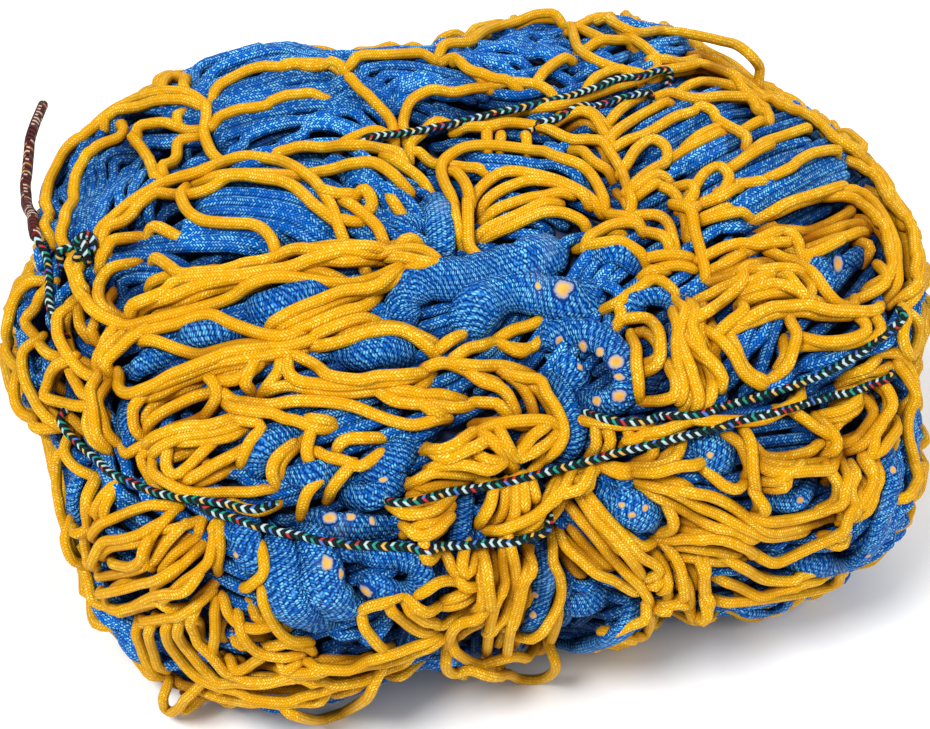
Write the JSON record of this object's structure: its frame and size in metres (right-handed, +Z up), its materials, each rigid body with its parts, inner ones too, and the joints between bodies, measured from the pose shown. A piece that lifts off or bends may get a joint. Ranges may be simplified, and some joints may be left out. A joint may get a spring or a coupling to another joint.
{
  "type": "bundled football goal net",
  "caption": "Football goal net of blue and yellow braided cord, gathered into a lumpy bundle with its border rope showing and tied round with braided string.",
  "frame": {"origin": "middle of the bundle's outline, on the floor it lies on", "axes": "+X along the bundle's length to the right of its front, +Y to its back, +Z up"},
  "size_m": [0.4034, 0.3568, 0.2176],
  "materials": {
    "blue_cord": "braided polypropylene cord, slight sheen",
    "yellow_cord": "braided polypropylene cord, slight sheen",
    "border_rope": "blue cord wrapped over a pale core",
    "tie_string": "many-coloured braided string"
  },
  "bodies": {
    "root": {"net_blue": "blue_cord", "net_yellow": "yellow_cord", "border_rope_knot": "border_rope", "border_rope_middle": "border_rope", "border_rope_drop": "border_rope", "border_rope_lower_left": "border_rope", "border_rope_right_corner": "border_rope", "border_rope_right_end": "border_rope", "tie_string_low": "tie_string", "tie_string_high": "tie_string", "tie_string_top": "tie_string", "tie_knot": "tie_string", "tie_tail": "tie_string"}
  },
  "joints": []
}
